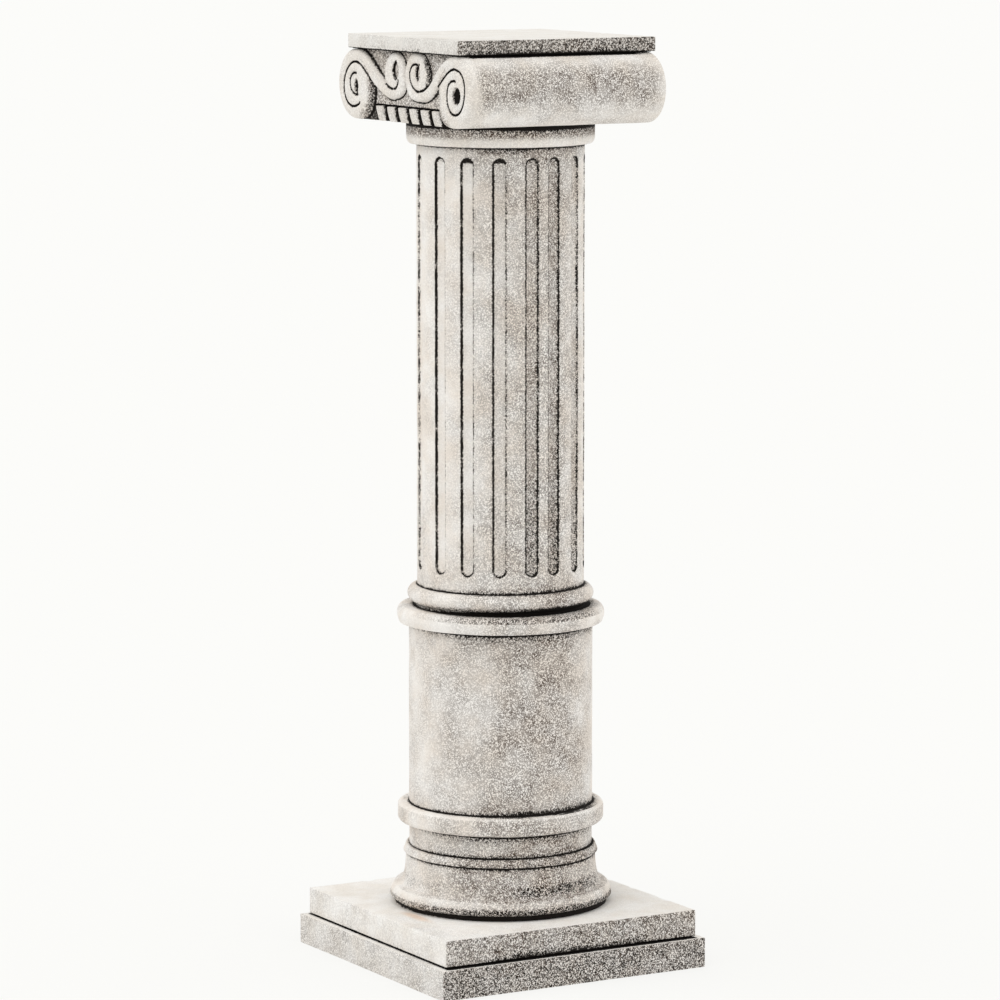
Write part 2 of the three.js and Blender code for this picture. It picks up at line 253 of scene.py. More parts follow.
def wear(mesh, coarse, fine):
    """Moves the surface in and out a little, as a mould and handling leave it."""
    coarse_width = 45 * mm
    fine_width = 7 * mm
    mesh.normal_update()
    moves = [
        v.normal * (coarse * noise.noise(v.co / coarse_width) + fine * noise.noise(v.co / fine_width))
        for v in mesh.verts
    ]
    for v, move in zip(mesh.verts, moves):
        v.co += move


def finish_piece(mesh, name, node, material, dirt_and_shade):
    """Makes a bmesh the piece that stands for a CAD node. The dirt function gives each place its grime
    and weather, dirt and in places painted shade, and where the mesh already has more, that stays."""
    low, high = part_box(node)
    layers = mesh.verts.layers.float
    grime_and_shade_layer = layers.get("grime_and_shade") or layers.new("grime_and_shade")
    weather_and_shade_layer = layers.get("weather_and_shade") or layers.new("weather_and_shade")
    for v in mesh.verts:
        grime_and_shade, weather_and_shade = dirt_and_shade(v.co)
        v[grime_and_shade_layer] = max(v[grime_and_shade_layer], grime_and_shade)
        v[weather_and_shade_layer] = max(v[weather_and_shade_layer], min(weather_and_shade, 1))
        for axis in range(3):
            v.co[axis] = min(max(v.co[axis], low[axis]), high[axis])
    for face in mesh.faces:
        face.smooth = True
    data = bpy.data.meshes.new(name)
    mesh.to_mesh(data)
    mesh.free()
    data.set_sharp_from_angle(angle=crisp_edge)
    data.materials.append(material)
    piece = bpy.data.objects.new(name, data)
    bpy.context.scene.collection.objects.link(piece)
    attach(piece, "root")
    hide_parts(node)


def square_slab(low, high, foot_height):
    """A slab with bevelled arrises, cut finely for its wear, on a set-back foot where it has one."""
    mesh = bmesh.new()
    bmesh.ops.create_cube(mesh, size=1)
    body_low = low + Vector((0, 0, foot_height))
    bmesh.ops.scale(mesh, verts=mesh.verts, vec=high - body_low)
    bmesh.ops.translate(mesh, verts=mesh.verts, vec=(high + body_low) / 2)
    bmesh.ops.bevel(
        mesh, geom=mesh.edges[:], offset=slab_arris, segments=3, profile=0.5, affect="EDGES", material=-1,
    )
    if foot_height:
        mesh.normal_update()
        under = min(mesh.faces, key=lambda face: (round(face.normal.z, 3), -face.calc_area()))
        bmesh.ops.inset_region(mesh, faces=[under], thickness=slab_foot_inset - slab_arris)
        foot = bmesh.ops.extrude_face_region(mesh, geom=[under])["geom"]
        foot_verts = [item for item in foot if isinstance(item, bmesh.types.BMVert)]
        bmesh.ops.translate(mesh, verts=foot_verts, vec=(0, 0, -foot_height))
        bmesh.ops.delete(mesh, geom=[under], context="FACES_ONLY")
    for axis in (0, 1):
        normal = Vector((axis == 0, axis == 1, 0))
        reach = high[axis] - 2 * slab_arris
        cuts = math.ceil(2 * reach / slab_slice)
        for i in range(cuts + 1):
            place = normal * (-reach + 2 * reach * i / cuts)
            geom = mesh.verts[:] + mesh.edges[:] + mesh.faces[:]
            bmesh.ops.bisect_plane(mesh, geom=geom, plane_co=place, plane_no=normal)
    for i in range(1, slab_levels):
        place = body_low.lerp(Vector((0, 0, high.z)), i / slab_levels)
        geom = mesh.verts[:] + mesh.edges[:] + mesh.faces[:]
        bmesh.ops.bisect_plane(mesh, geom=geom, plane_co=(0, 0, place.z), plane_no=(0, 0, 1))
    bmesh.ops.recalc_face_normals(mesh, faces=mesh.faces[:])
    return mesh


def chip_edges(mesh, high, depth):
    """Small losses along the slab's upper and upright arrises."""
    chip_width = 16 * mm
    mesh.normal_update()
    for v in mesh.verts:
        edge_distance = high.x - max(abs(v.co.x), abs(v.co.y)) + abs(high.z - v.co.z)
        if edge_distance < chip_reach:
            loss = smooth(noise.noise(v.co / chip_width + Vector((3, 1, 7))), 0.25, 0.6)
            v.co -= v.normal * depth * loss


def slab_dirt_and_shade(low, high, foot_height, side_weather, darkening, wash, ledge_half):
    """Dirt and painted shade on a slab: black in the recess round its foot and in a line along its lower
    edge, painted shade and dirt, stippled on its sides, sooty and washed up from the joint on the sides
    that look along X, and a narrow black line, dirt and painted shade, where the slab above stands on it.
    The side weather is that of the sides that look along Y, then of those that look along X."""
    body_low = low.z + foot_height

    def dirt_and_shade(co):
        out = max(abs(co.x), abs(co.y))
        facing_x = smooth(abs(co.x) - abs(co.y), -2 * mm, 2 * mm)
        on_side = smooth(out, high.x - 1.4 * mm, high.x - 0.3 * mm)
        up = (co.z - body_low) / (high.z - body_low)
        patchy = 0.5 + noise.noise(co / (26 * mm))
        weather_and_shade = on_side * (side_weather[0] * (1 - facing_x) + side_weather[1] * facing_x)
        weather_and_shade += 0.25 * on_side * noise.noise(co / (40 * mm))
        on_rim = smooth(out, 0.66 * high.x, 0.95 * high.x)
        on_rim *= smooth(co.x - co.y, 0.8 * high.x, 1.7 * high.x)
        weather_and_shade += (1 - on_side) * on_rim * (0.15 + 0.3 * smooth(noise.noise(co / (45 * mm)), -0.1, 0.5))
        # Painted shade and dirt: black in the recess under the foot.
        grime_and_shade = (1 - smooth(co.z, body_low - 0.3 * mm, body_low + 0.8 * mm)) if foot_height else 0
        middle = 1 - smooth(min(abs(co.x), abs(co.y)), 0.25 * high.x, 1.0 * high.x)
        washed = wash * (0.36 + 0.64 * facing_x) * (0.6 + 0.5 * middle) * (0.5 + 0.5 * patchy)
        grime_and_shade = max(grime_and_shade, on_side * washed * smooth(0.75 - up, 0, 0.75), darkening * on_side * facing_x)
        # Painted shade and dirt: a black line along the slab's lower edge, over the foot.
        if foot_height:
            line_height = (0.9 + 1.5 * middle * facing_x) * mm
            edge_line = 1 - smooth(co.z, body_low + 0.3 * mm, body_low + line_height)
            grime_and_shade = max(grime_and_shade, 0.9 * on_side * edge_line)
        # Painted shade and dirt: a black line on the ledge round the foot of the slab above.
        if ledge_half and up > 0.9:
            reach = (0.3 + 1.6 * facing_x) * mm
            grime_and_shade = max(grime_and_shade, 0.9 * smooth(ledge_half + reach + 1 * mm - out, 0, 1.2 * mm))
        return grime_and_shade, weather_and_shade

    return dirt_and_shade


plinth_stone = cast_stone("cast_stone_plinth", "#FBF9F6", "#F3EEE7")
abacus_stone = cast_stone("cast_stone_abacus", "#F0EEEA", "#EAE6E0")

lower_low, lower_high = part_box("lower_plinth_slab")
upper_low, upper_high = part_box("upper_plinth_slab")
lower_slab = square_slab(lower_low, lower_high, 0)
wear(lower_slab, 0.25 * mm, 0.12 * mm)
chip_edges(lower_slab, lower_high, 0.9 * mm)
finish_piece(
    lower_slab, "lower_plinth", "lower_plinth_slab", plinth_stone,
    slab_dirt_and_shade(
        lower_low, lower_high, foot_height=0, side_weather=(0.46, 1.1), darkening=0.4, wash=0.5,
        ledge_half=upper_high.x,
    ),
)

# A faint rusty stain lies on the plinth's top, in front of the column and to the photograph's left.
rust_place = Vector((0.034, -0.122, upper_high.z))
rust_length = 40 * mm
rust_width = 10 * mm
rust_strength = 0.55
upper_slab = square_slab(upper_low, upper_high, slab_foot_height)
wear(upper_slab, 0.25 * mm, 0.12 * mm)
chip_edges(upper_slab, upper_high, 0.8 * mm)
rust_layer = upper_slab.verts.layers.float.new("rust")
for v in upper_slab.verts:
    from_stain = v.co - rust_place
    reach = math.hypot(from_stain.x / rust_length, from_stain.y / rust_width)
    v[rust_layer] = rust_strength * (1 - smooth(reach, 0.2, 1)) * (v.co.z > upper_high.z - 1 * mm)
finish_piece(
    upper_slab, "upper_plinth", "upper_plinth_slab", plinth_stone,
    slab_dirt_and_shade(
        upper_low, upper_high, slab_foot_height, side_weather=(0.14, 0.95), darkening=0.3, wash=0.55,
        ledge_half=None,
    ),
)

abacus_low, abacus_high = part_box("abacus_slab")
abacus = square_slab(abacus_low, abacus_high, abacus_foot_height)
wear(abacus, 0.15 * mm, 0.08 * mm)
chip_edges(abacus, abacus_high, 0.3 * mm)
finish_piece(
    abacus, "abacus", "abacus_slab", abacus_stone,
    slab_dirt_and_shade(
        abacus_low, abacus_high, abacus_foot_height, side_weather=(0.1, 1.0), darkening=0.38, wash=0.86,
        ledge_half=None,
    ),
)


# Pedestal drum: a plain round drum with its base and cap mouldings, cast in one in a turned mould. The
# creases between the mouldings are painted black, dirt and painted shade, and smudges lie at the drum's
# foot and in the cavetto, the one in the cavetto partly painted shade.
drum_turn_steps = 224
profile_step = 1.2 * mm
most_cuts = 34
corner_round = 0.9 * mm
flattest_corner = math.radians(150)

drum_radius = 98.2 * mm
foot_radius = 114.1 * mm
foot_height = 5.1 * mm
torus_radius = 119 * mm
torus_round = 9 * mm
torus_lower = 3 * mm
torus_upper = 13.3 * mm
cavetto_top_radius = 101.6 * mm
cavetto_flare = 7.6 * mm
cavetto_height = 32.7 * mm
fillet_radius = 104.5 * mm
fillet_height = 8.8 * mm
fillet_slope = 3.2 * mm
band_radius = 98 * mm
band_height = 25.8 * mm
collar_radius = 110.4 * mm
collar_height = 19.9 * mm
collar_edge = 4.5 * mm
drum_height = 195.8 * mm
fine_rows_at_foot = 15 * mm
fine_rows_at_head = 10 * mm
cap_radius = 110.8 * mm
cap_height = 17.6 * mm
cap_round = 6 * mm
cap_lip = 2.2 * mm
neck_radius = 90.4 * mm


def bow(centre, spread, start, end, steps):
    """Points of a part of an ellipse in a profile, in degrees from the outward direction."""
    angles = [math.radians(start + (end - start) * i / steps) for i in range(steps + 1)]
    return [(centre[0] + spread[0] * math.cos(a), centre[1] + spread[1] * math.sin(a)) for a in angles]


def turned(profile, base, steps):
    """Spins a profile of (radius, height) about the upright axis, with its corners eased."""
    corners = [Vector(place) for place in profile]
    eased = [corners[0]]
    for before, corner, after in zip(corners, corners[1:], corners[2:]):
        back, on = before - corner, after - corner
        if back.angle(on, math.pi) < flattest_corner:
            reach = min(corner_round, 0.4 * back.length, 0.4 * on.length)
            first, last = corner + back.normalized() * reach, corner + on.normalized() * reach
            eased += [first, (first + last + 2 * corner) / 4, last]
        else:
            eased.append(corner)
    eased.append(corners[-1])
    mesh = bmesh.new()
    outline = [mesh.verts.new((0, 0, base + eased[0].y))]
    for place, following in zip(eased, eased[1:]):
        cuts = min(max(math.ceil((following - place).length / profile_step), 1), most_cuts)
        for i in range(cuts):
            step = place.lerp(following, i / cuts)
            outline.append(mesh.verts.new((step.x, 0, base + step.y)))
    outline.append(mesh.verts.new((eased[-1].x, 0, base + eased[-1].y)))
    outline.append(mesh.verts.new((0, 0, base + eased[-1].y)))
    for lower, upper in zip(outline, outline[1:]):
        mesh.edges.new((lower, upper))
    bmesh.ops.spin(
        mesh, geom=mesh.verts[:] + mesh.edges[:], cent=(0, 0, 0), axis=(0, 0, 1), angle=2 * math.pi,
        steps=steps, use_merge=True, use_duplicate=False,
    )
    bmesh.ops.remove_doubles(mesh, verts=mesh.verts[:], dist=0.01 * mm)
    bmesh.ops.recalc_face_normals(mesh, faces=mesh.faces[:])
    return mesh


drum_low, drum_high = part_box("pedestal_drum")
torus_crest = foot_height + torus_lower
torus_top = torus_crest + torus_upper
cavetto_top = torus_top + cavetto_height
fillet_top = cavetto_top + fillet_height
band_top = fillet_top + band_height
collar_top = band_top + collar_height
drum_top = collar_top + drum_height
cap_top = drum_top + cap_height
neck_top = drum_high.z - drum_low.z
torus_centre = (torus_radius - torus_round, torus_crest)
cavetto_centre = (cavetto_top_radius + cavetto_flare, cavetto_top)
cap_centre = (cap_radius - cap_round, cap_top - cap_height / 2)

drum_profile = [
    (foot_radius, 0),
    (foot_radius, foot_height),
    *bow(torus_centre, (torus_round, torus_lower), -50, 0, 5),
    *bow(torus_centre, (torus_round, torus_upper), 10, 90, 8),
    *bow(cavetto_centre, (cavetto_flare, cavetto_height), 270, 180, 14),
    (fillet_radius, cavetto_top + 0.1 * fillet_height),
    (fillet_radius - fillet_slope, fillet_top),
    (band_radius, fillet_top),
    (band_radius, band_top),
    (collar_radius - collar_edge, band_top),
    *bow((collar_radius - collar_edge, band_top + collar_edge), (collar_edge, collar_edge), -60, 0, 3),
    *bow((collar_radius - collar_edge, collar_top - collar_edge), (collar_edge, collar_edge), 0, 90, 4),
    (drum_radius, collar_top),
    (drum_radius, collar_top + fine_rows_at_foot),
    (drum_radius, drum_top - fine_rows_at_head),
    (drum_radius, drum_top),
    (cap_radius - cap_lip, drum_top),
    *bow(cap_centre, (cap_round, cap_height / 2), -35, 80, 10),
    (neck_radius, cap_top),
    (neck_radius, neck_top),
]
drum = turned(drum_profile, drum_low.z, drum_turn_steps)
wear(drum, 0.35 * mm, 0.1 * mm)

# Each crease's radius and height above the drum's own foot, how far its black reaches, and how black it is.
# The black is dirt and painted shade.
drum_creases = [
    (foot_radius, foot_height / 2, 3.8 * mm, 1.0),
    (cavetto_top_radius, cavetto_top, 2.4 * mm, 0.9),
    (band_radius, fillet_top, 2.3 * mm, 0.95),
    (band_radius, band_top, 4.3 * mm, 0.95),
    (drum_radius, collar_top, 2.6 * mm, 1.0),
    (drum_radius, drum_top, 4.4 * mm, 0.95),
    (neck_radius + 2 * mm, cap_top + 0.6 * mm, 4.6 * mm, 1.0),
]
# How high the smudges, some of them painted shade, reach above what they lie on, and where the crests of
# the mouldings are cleaner.
cap_shade_and_smudge_height = 6 * mm
foot_smudge_height = 17 * mm
foot_dense_height = 8 * mm
cavetto_shade_and_smudge_middle = 7 * mm
cavetto_shade_and_smudge_half = 10.5 * mm
torus_shade_and_smudge_height = 10 * mm
torus_stipple_height = 4 * mm
torus_clean_middle = 7.5 * mm
torus_clean_half = 4 * mm
collar_clean_half = 2.5 * mm
photo_side = math.atan2(camera_place[1], camera_place[0])


def angle_from_photo(co):
    """Degrees round the column from the side that the camera looks at, positive to the picture's right."""
    turn = math.atan2(co.y, co.x) - photo_side
    return math.degrees((turn + math.pi) % (2 * math.pi) - math.pi)


def crease_grime_and_shade(radius, height, around, creases):
    """Black in each crease, dirt and painted shade, with a frayed stipple beyond it, and thinner on the
    photograph's left.
    """
    fullness = 0.45 + 0.55 * smooth(around, -70, 0)
    most = 0
    for crease_radius, crease_height, reach, black in creases:
        away = math.hypot(radius - crease_radius, height - crease_height) / (reach * fullness)
        if away < 4:
            line = 1 - smooth(away, 0.5, 1.2)
            halo = 0.44 * (1 - smooth(away, 0.8, 4))
            most = max(most, black * max(line, halo))
    return most


def drum_dirt(co):
    """Black creases, dirt and painted shade; a dark underside to the torus, painted shade and dirt; and
    smudges on the cap roll under the shaft's roll, at the drum's foot and low in the cavetto, the first and
    last partly painted shade, darker on the photograph's right. The stipple is thin on its left and on
    crests."""
    height = co.z - drum_low.z
    around = angle_from_photo(co)
    patchy = 0.6 + 0.8 * noise.noise(co / (18 * mm))
    grime_and_shade = crease_grime_and_shade(co.xy.length, height, around, drum_creases)
    # Painted shade and dirt on the cap's top, under the shaft's base roll.
    if height > cap_top - cap_shade_and_smudge_height:
        grime_and_shade = max(grime_and_shade, 0.36 * smooth(around, -60, -10) * smooth(80 - around, 0, 20))
    if height > collar_top:
        foot_smudge = 0.3 * smooth(collar_top + foot_smudge_height - height, 0, 15 * mm)
        foot_smudge += 0.5 * smooth(collar_top + foot_dense_height - height, 0, 6 * mm)
        right_side = smooth(around, -20, 14) * smooth(85 - around, 0, 30)
        grime_and_shade = max(grime_and_shade, foot_smudge * (0.45 + 0.55 * patchy) * (0.35 + 0.65 * right_side))
    # Painted shade and dirt low in the cavetto, over the torus.
    from_smudge = abs(height - torus_top - cavetto_shade_and_smudge_middle)
    cavetto_shade_and_smudge = smooth(cavetto_shade_and_smudge_half - from_smudge, 0, 8 * mm) * (0.6 + 0.4 * patchy)
    cavetto_shade_and_smudge *= 0.24 + 0.3 * smooth(around, -5, 20) * smooth(88 - around, 0, 20)
    # Painted shade and dirt: the torus darker below its crest.
    torus_shade_and_smudge = 0.36 + 0.18 * smooth(around, -60, 0)
    torus_shade_and_smudge *= smooth(torus_crest + torus_shade_and_smudge_height - height, 0, 9 * mm)
    weather_and_shade = 0.22 + 0.66 * smooth(around, -66, 25) * smooth(88 - around, 0, 55)
    lower_moulding = smooth(band_top - height, 0, 20 * mm)
    weather_and_shade += (0.14 * smooth(around, -90, -40) + 0.12 * smooth(around, 8, 35)) * lower_moulding
    weather_and_shade += 0.35 * noise.noise(co / (30 * mm))
    if height < torus_crest + torus_stipple_height:
        weather_and_shade += 0.3
    on_torus = abs(height - torus_crest - torus_clean_middle) < torus_clean_half
    on_collar = abs(height - collar_top) < collar_clean_half
    on_cap = drum_top < height < cap_top - cap_shade_and_smudge_height
    if on_torus or on_collar or on_cap:
        weather_and_shade -= 0.35
    return max(grime_and_shade, cavetto_shade_and_smudge, torus_shade_and_smudge), max(weather_and_shade, 0)


drum_stone = cast_stone("cast_stone_drum", "#F9F6F2", "#F0E8DF")
finish_piece(drum, "pedestal", "pedestal_drum", drum_stone, drum_dirt)


# Fluted shaft: a plain cylinder with a half-round base roll and stopped flutes, cast in one in a mould of
# several sections. One section sat a little turned, so the flutes crowd at one of its joints.
shaft_turn_steps = 480
shaft_radius = 89 * mm
base_neck = 0.8 * mm
base_roll_height = 18.6 * mm
base_roll_radius = 99.4 * mm
flute_count = 16
flute_width = 13.6 * mm
flute_depth = 3.9 * mm
fine_rows_inside = 16 * mm
fine_rows_past = 2 * mm
flute_lower_margin = 19 * mm
flute_upper_margin = 11.4 * mm
first_flute = 9.2
turned_flutes = 4
turned_section = 5.3

shaft_low, shaft_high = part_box("fluted_shaft")
roll_top = base_neck + base_roll_height
shaft_top = shaft_high.z - shaft_low.z
flute_foot = roll_top + flute_lower_margin
flute_top = shaft_top - flute_upper_margin
roll_centre = (shaft_radius, base_neck + base_roll_height / 2)
flute_angles = [
    math.radians(first_flute - i * 360 / flute_count + turned_section * (1 <= i <= turned_flutes))
    for i in range(flute_count)
]

shaft_profile = [
    (neck_radius, 0),
    (neck_radius, base_neck),
    *bow(roll_centre, (base_roll_radius - shaft_radius, base_roll_height / 2), -80, 80, 14),
    (shaft_radius, roll_top),
    (shaft_radius, flute_foot - fine_rows_past),
    (shaft_radius, flute_foot + fine_rows_inside),
    (shaft_radius, (flute_foot + flute_top) / 2),
    (shaft_radius, flute_top - fine_rows_inside),
    (shaft_radius, flute_top + fine_rows_past),
    (shaft_radius, shaft_top),
]
shaft = turned(shaft_profile, shaft_low.z, shaft_turn_steps)


def nearest_flute(angle):
    """The nearest flute's number, and how far past its middle the angle lies."""
    turns = [((angle - middle + math.pi) % (2 * math.pi)) - math.pi for middle in flute_angles]
    number = min(range(flute_count), key=lambda i: abs(turns[i]))
    return number, turns[number]


def in_flute(co):
    """How far a place lies across its flute from the middle, and inside the flute's round-ended outline."""
    number, turn = nearest_flute(math.atan2(co.y, co.x))
    across = turn * shaft_radius
    height = co.z - shaft_low.z
    half = flute_width / 2
    past_end = max(flute_foot + half - height, height - flute_top + half, 0)
    return number, across, half - math.hypot(across, past_end)


# The upright rows of the mesh that lie nearest a flute's edges are turned onto them, so the edges run
# straight. Then the flutes are sunk, to a shallow round section with steep edges.
step_angle = 2 * math.pi / shaft_turn_steps
edge_turn = flute_width / 2 / shaft_radius
for v in shaft.verts:
    if v.co.xy.length < neck_radius:
        continue
    turn = nearest_flute(math.atan2(v.co.y, v.co.x))[1]
    gap = math.copysign(edge_turn, turn) - turn
    if abs(gap) < 0.5 * step_angle:
        v.co = Matrix.Rotation(gap, 3, "Z") @ v.co
for v in shaft.verts:
    inside = in_flute(v.co)[2]
    if inside > 0:
        share = min(inside / (flute_width / 2), 1)
        depth = flute_depth * (1 - (1 - share) ** 2.2) ** 0.55
        v.co.xy *= 1 - depth / shaft_radius
wear(shaft, 0.3 * mm, 0.12 * mm)

# As with the drum's creases: radius, height, reach and blackness, dirt and painted shade.
shaft_creases = [
    (neck_radius + 2 * mm, 0, 3.1 * mm, 1.0),
    (shaft_radius, roll_top, 2.4 * mm, 0.85),
    (shaft_radius, shaft_top, 1.6 * mm, 0.85),
]
flute_line_core = 0.45 * mm
flute_line_reach = 1.7 * mm
flute_head_soot = 6.5 * mm
base_smudge_height = 6.5 * mm
head_shade_and_smudge_height = 12 * mm
head_stipple_height = 30 * mm
foot_stipple_height = 140 * mm
foot_stipple_fade = 160 * mm


def shaft_dirt(co):
    """Black lines along the flutes' edges and round their ends, dirt and painted shade, blacker on the
    edges of walls turned from the light; soot inside the flutes at the top and in their lower halves, the
    lower soot partly painted shade; and smudges under the capital, above the base roll and on the roll's
    underside, those under the capital and on the roll's underside partly painted shade."""
    height = co.z - shaft_low.z
    around = angle_from_photo(co)
    number, across, inside = in_flute(co)
    side = math.sin(flute_angles[number] - photo_side)
    # Painted shade and dirt: each flute's edge lines are blacker where the flute's wall turns from the
    # light.
    left_black = 0.84 - 0.5 * max(side - 0.38, 0)
    right_black = min(0.56 + 0.6 * max(side, 0), 0.84)
    streaky = 0.4 * noise.noise(Vector((number * 3.1, across / (9 * mm), height / (7 * mm))))
    side_black = left_black if across < 0 else right_black
    side_black += streaky - 0.34 * smooth(abs(side), 0.8, 0.97)
    half = flute_width / 2
    near_end = smooth(height, flute_top - 1.3 * half, flute_top - 0.5 * half)
    near_foot = smooth(flute_foot + 1.2 * half - height, 0, 0.8 * half)
    edge_black = max(side_black, 0.95 * near_end, 0.85 * near_foot)
    grime_and_shade = edge_black * (1 - smooth(abs(inside - 0.1 * mm), flute_line_core, flute_line_reach))
    if inside > 0:
        soot_top = smooth(height, flute_top - flute_head_soot, flute_top - 3 * mm)
        filled = smooth(0.2 - side, 0, 0.3) * smooth(side, -0.65, -0.35)
        grime_and_shade = max(grime_and_shade, (0.35 + 0.55 * filled) * soot_top)
        flute_length = flute_top - flute_foot
        # Painted shade and soot: the lower halves of flutes turned from the light are darker inside.
        lower_soot_and_shade = smooth(flute_foot + 0.5 * flute_length - height, 0, 0.45 * flute_length)
        grime_and_shade = max(grime_and_shade, 0.06 + 0.32 * smooth(side, -0.15, 0.3) * lower_soot_and_shade)
    grime_and_shade = max(grime_and_shade, crease_grime_and_shade(co.xy.length, height, around, shaft_creases))
    # Painted shade and dirt on the shaft's top, under the capital's ring.
    front = smooth(around, -40, -5) * smooth(45 - around, 0, 30)
    grime_and_shade = max(grime_and_shade, 0.42 * front * smooth(height, shaft_top - head_shade_and_smudge_height, shaft_top - 2 * mm))
    if height < roll_top:
        # Painted shade and dirt on the base roll's underside.
        under_roll = smooth(roll_centre[1] - 1 * mm - height, 0, 7 * mm)
        right_side = smooth(around, 5, 30) * smooth(85 - around, 0, 20)
        grime_and_shade = max(grime_and_shade, (0.34 + 0.25 * smooth(around, -60, 10) + 0.3 * right_side) * under_roll)
    else:
        right_side = smooth(around, -5, 25) * smooth(80 - around, 0, 20)
        grime_and_shade = max(grime_and_shade, 0.6 * right_side * smooth(roll_top + base_smudge_height - height, 0, 5 * mm))
    weather_and_shade = 0.08 + 0.58 * smooth(around, -50, 20) * smooth(88 - around, 0, 50)
    weather_and_shade += 0.3 * noise.noise(co / (30 * mm))
    # Painted shade and dirt: flute insides more stippled on flutes turned from the light, less on those
    # turned to it.
    weather_and_shade += 0.18 * smooth(inside, 0, 1 * mm) * (2 * smooth(side, 0, 0.35) - 1)
    weather_and_shade += 0.3 * smooth(height, shaft_top - head_stipple_height, shaft_top) * smooth(around, -60, -20)
    weather_and_shade += 0.12 * smooth(flute_foot + foot_stipple_height - height, 0, foot_stipple_fade)
    return grime_and_shade, max(weather_and_shade, 0)


shaft_stone = cast_stone("cast_stone_shaft", "#F9F6F2", "#F1E9E0")
finish_piece(shaft, "shaft", "fluted_shaft", shaft_stone, shaft_dirt)


# Scroll capital: one casting with a necking ring below and a block above that is rounded into a plain roll
# at each side. Both end faces are carved: a band runs from each big scroll down and up into a small one,
# over a row of tongues. The carving is soft-edged, with thin black lines of dirt between its rolls, and
# painted shade lies in black and stipple in its gaps and hollows, on its sloping flanks, and under the
# abacus and the block.
across_steps = 300
rise_steps = 108
length_steps = 21
ring_radius = 99.7 * mm
ring_taper = 4.2 * mm
ring_taper_height = 8.5 * mm
ring_height = 23.5 * mm
straight_reach = 80 * mm
panel_depth = 7 * mm
tongue_bed_depth = 11.5 * mm
band_half_start = 6.7 * mm
band_half_end = 5.6 * mm
band_swell = 1.3 * mm
roll_width = 5 * mm
roll_depth = 3.5 * mm
flank_width = 11 * mm
flank_depth = 4.4 * mm
inner_drop = 2.6 * mm
wall_width = 1.4 * mm
settle_reach = 0.5 * mm
tongue_row_height = 17.2 * mm
tongue_height = 16.1 * mm
tongue_crown = 0.6 * mm
tongue_crown_round = 1.4 * mm
tongue_count = 6
tongue_width = 17.6 * mm
tongue_pitch = 24.1 * mm
tongue_front = 3.2 * mm
tongue_lean = 4.3 * mm
line_core = 0.8 * mm
line_reach = 1.75 * mm
line_inset = 0.3 * mm
line_steps = 190
fade_steps = 30

capital_low, capital_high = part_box("scroll_capital")
face_depth = capital_high.y
block_foot = capital_low.z + ring_height
block_height = capital_high.z - block_foot
roll_radius = block_height / 2
volute_centre = Vector((capital_high.x - roll_radius, roll_radius))
inner_centre = Vector((26.5, 51.5)) * mm

# The two sides of the face were modelled by hand and differ. Side -1 is the photograph's left and side 1
# its right, which reaches a little past the middle. A side's outline is that of its small scroll, one
# radius in millimetres for each eighth of a turn. The heel power says how square its big scroll is below.
side_meeting = -3.2 * mm
inner_outlines = {
    -1: (21.5, 21.4, 21.6, 23.4, 22.6, 27.4, 26.6, 22.5),
    1: (22.2, 21.2, 22.3, 27.4, 29.7, 31.2, 27.6, 22.5),
}
heel_powers = {-1: 2.7, 1: 3.5}
rim_widths = {-1: 4 * mm, 1: 7 * mm}
rim_depths = {-1: 3.6 * mm, 1: 6.5 * mm}


def polar(centre, degrees, radius):
    angle = math.radians(degrees)
    return centre + Vector((math.cos(angle), math.sin(angle))) * radius


def spiral(centre, start, radii, first, last):
    """A line wound clockwise by quarter turns, each quarter easing to the next radius in millimetres."""
    steps = math.ceil((last - first) * line_steps)
    places = []
    for i in range(steps + 1):
        turn = first + (last - first) * i / steps
        quarter = min(int(turn), len(radii) - 2)
        radius = radii[quarter] + (radii[quarter + 1] - radii[quarter]) * smooth(turn - quarter, 0, 1)
        places.append(polar(centre * mm, start - 90 * turn, radius * mm))
    return places


def face_place(x, rise):
    """Which side a place on the face is on, and the place with its distance outwards from the middle."""
    side = 1 if x > side_meeting else -1
    return side, Vector((side * x, rise))


def inner_reach(place, side):
    """How far a place lies inside the small scroll's outline."""
    arm = place - inner_centre
    turn = (math.degrees(math.atan2(arm.y, arm.x)) % 360) / 45
    eighth = int(turn) % 8
    start, end = inner_outlines[side][eighth], inner_outlines[side][(eighth + 1) % 8]
    return (start + (end - start) * smooth(turn - int(turn), 0, 1)) * mm - arm.length


def disc_reach(place, side):
    """How far a place lies inside the big scroll's disc, which is squarer where it meets the tongues."""
    arm = place - volute_centre
    power = heel_powers[side]
    if arm.x < 0 and arm.y < 0:
        return roll_radius - (abs(arm.x) ** power + abs(arm.y) ** power) ** (1 / power)
    return roll_radius - arm.length


# The band's middle line runs from the top of the big scroll to the bottom of the small one.
band_corners = [Vector(corner) * mm for corner in ((105, 67.2), (80, 67.2), (58, 29.3), (30, 29.3))]
band_samples = 420
band_line = []
band_halves = []
band_lower_edge = []
band_upper_edge = []
band_steps = [after - before for before, after in zip(band_corners, band_corners[1:])]
for i in range(band_samples + 1):
    t = i / band_samples
    weights = ((1 - t) ** 3, 3 * t * (1 - t) ** 2, 3 * t * t * (1 - t), t ** 3)
    middle = sum((corner * weight for corner, weight in zip(band_corners, weights)), Vector((0, 0)))
    slope_weights = ((1 - t) ** 2, 2 * t * (1 - t), t * t)
    along = sum((step * weight for step, weight in zip(band_steps, slope_weights)), Vector((0, 0)))
    along.normalize()
    half = band_half_start + (band_half_end - band_half_start) * t + band_swell * math.sin(math.pi * t)
    up_across = Vector((along.y, -along.x))
    band_line.append(middle)
    band_halves.append(half)
    band_lower_edge.append(middle - up_across * half)
    band_upper_edge.append(middle + up_across * half)

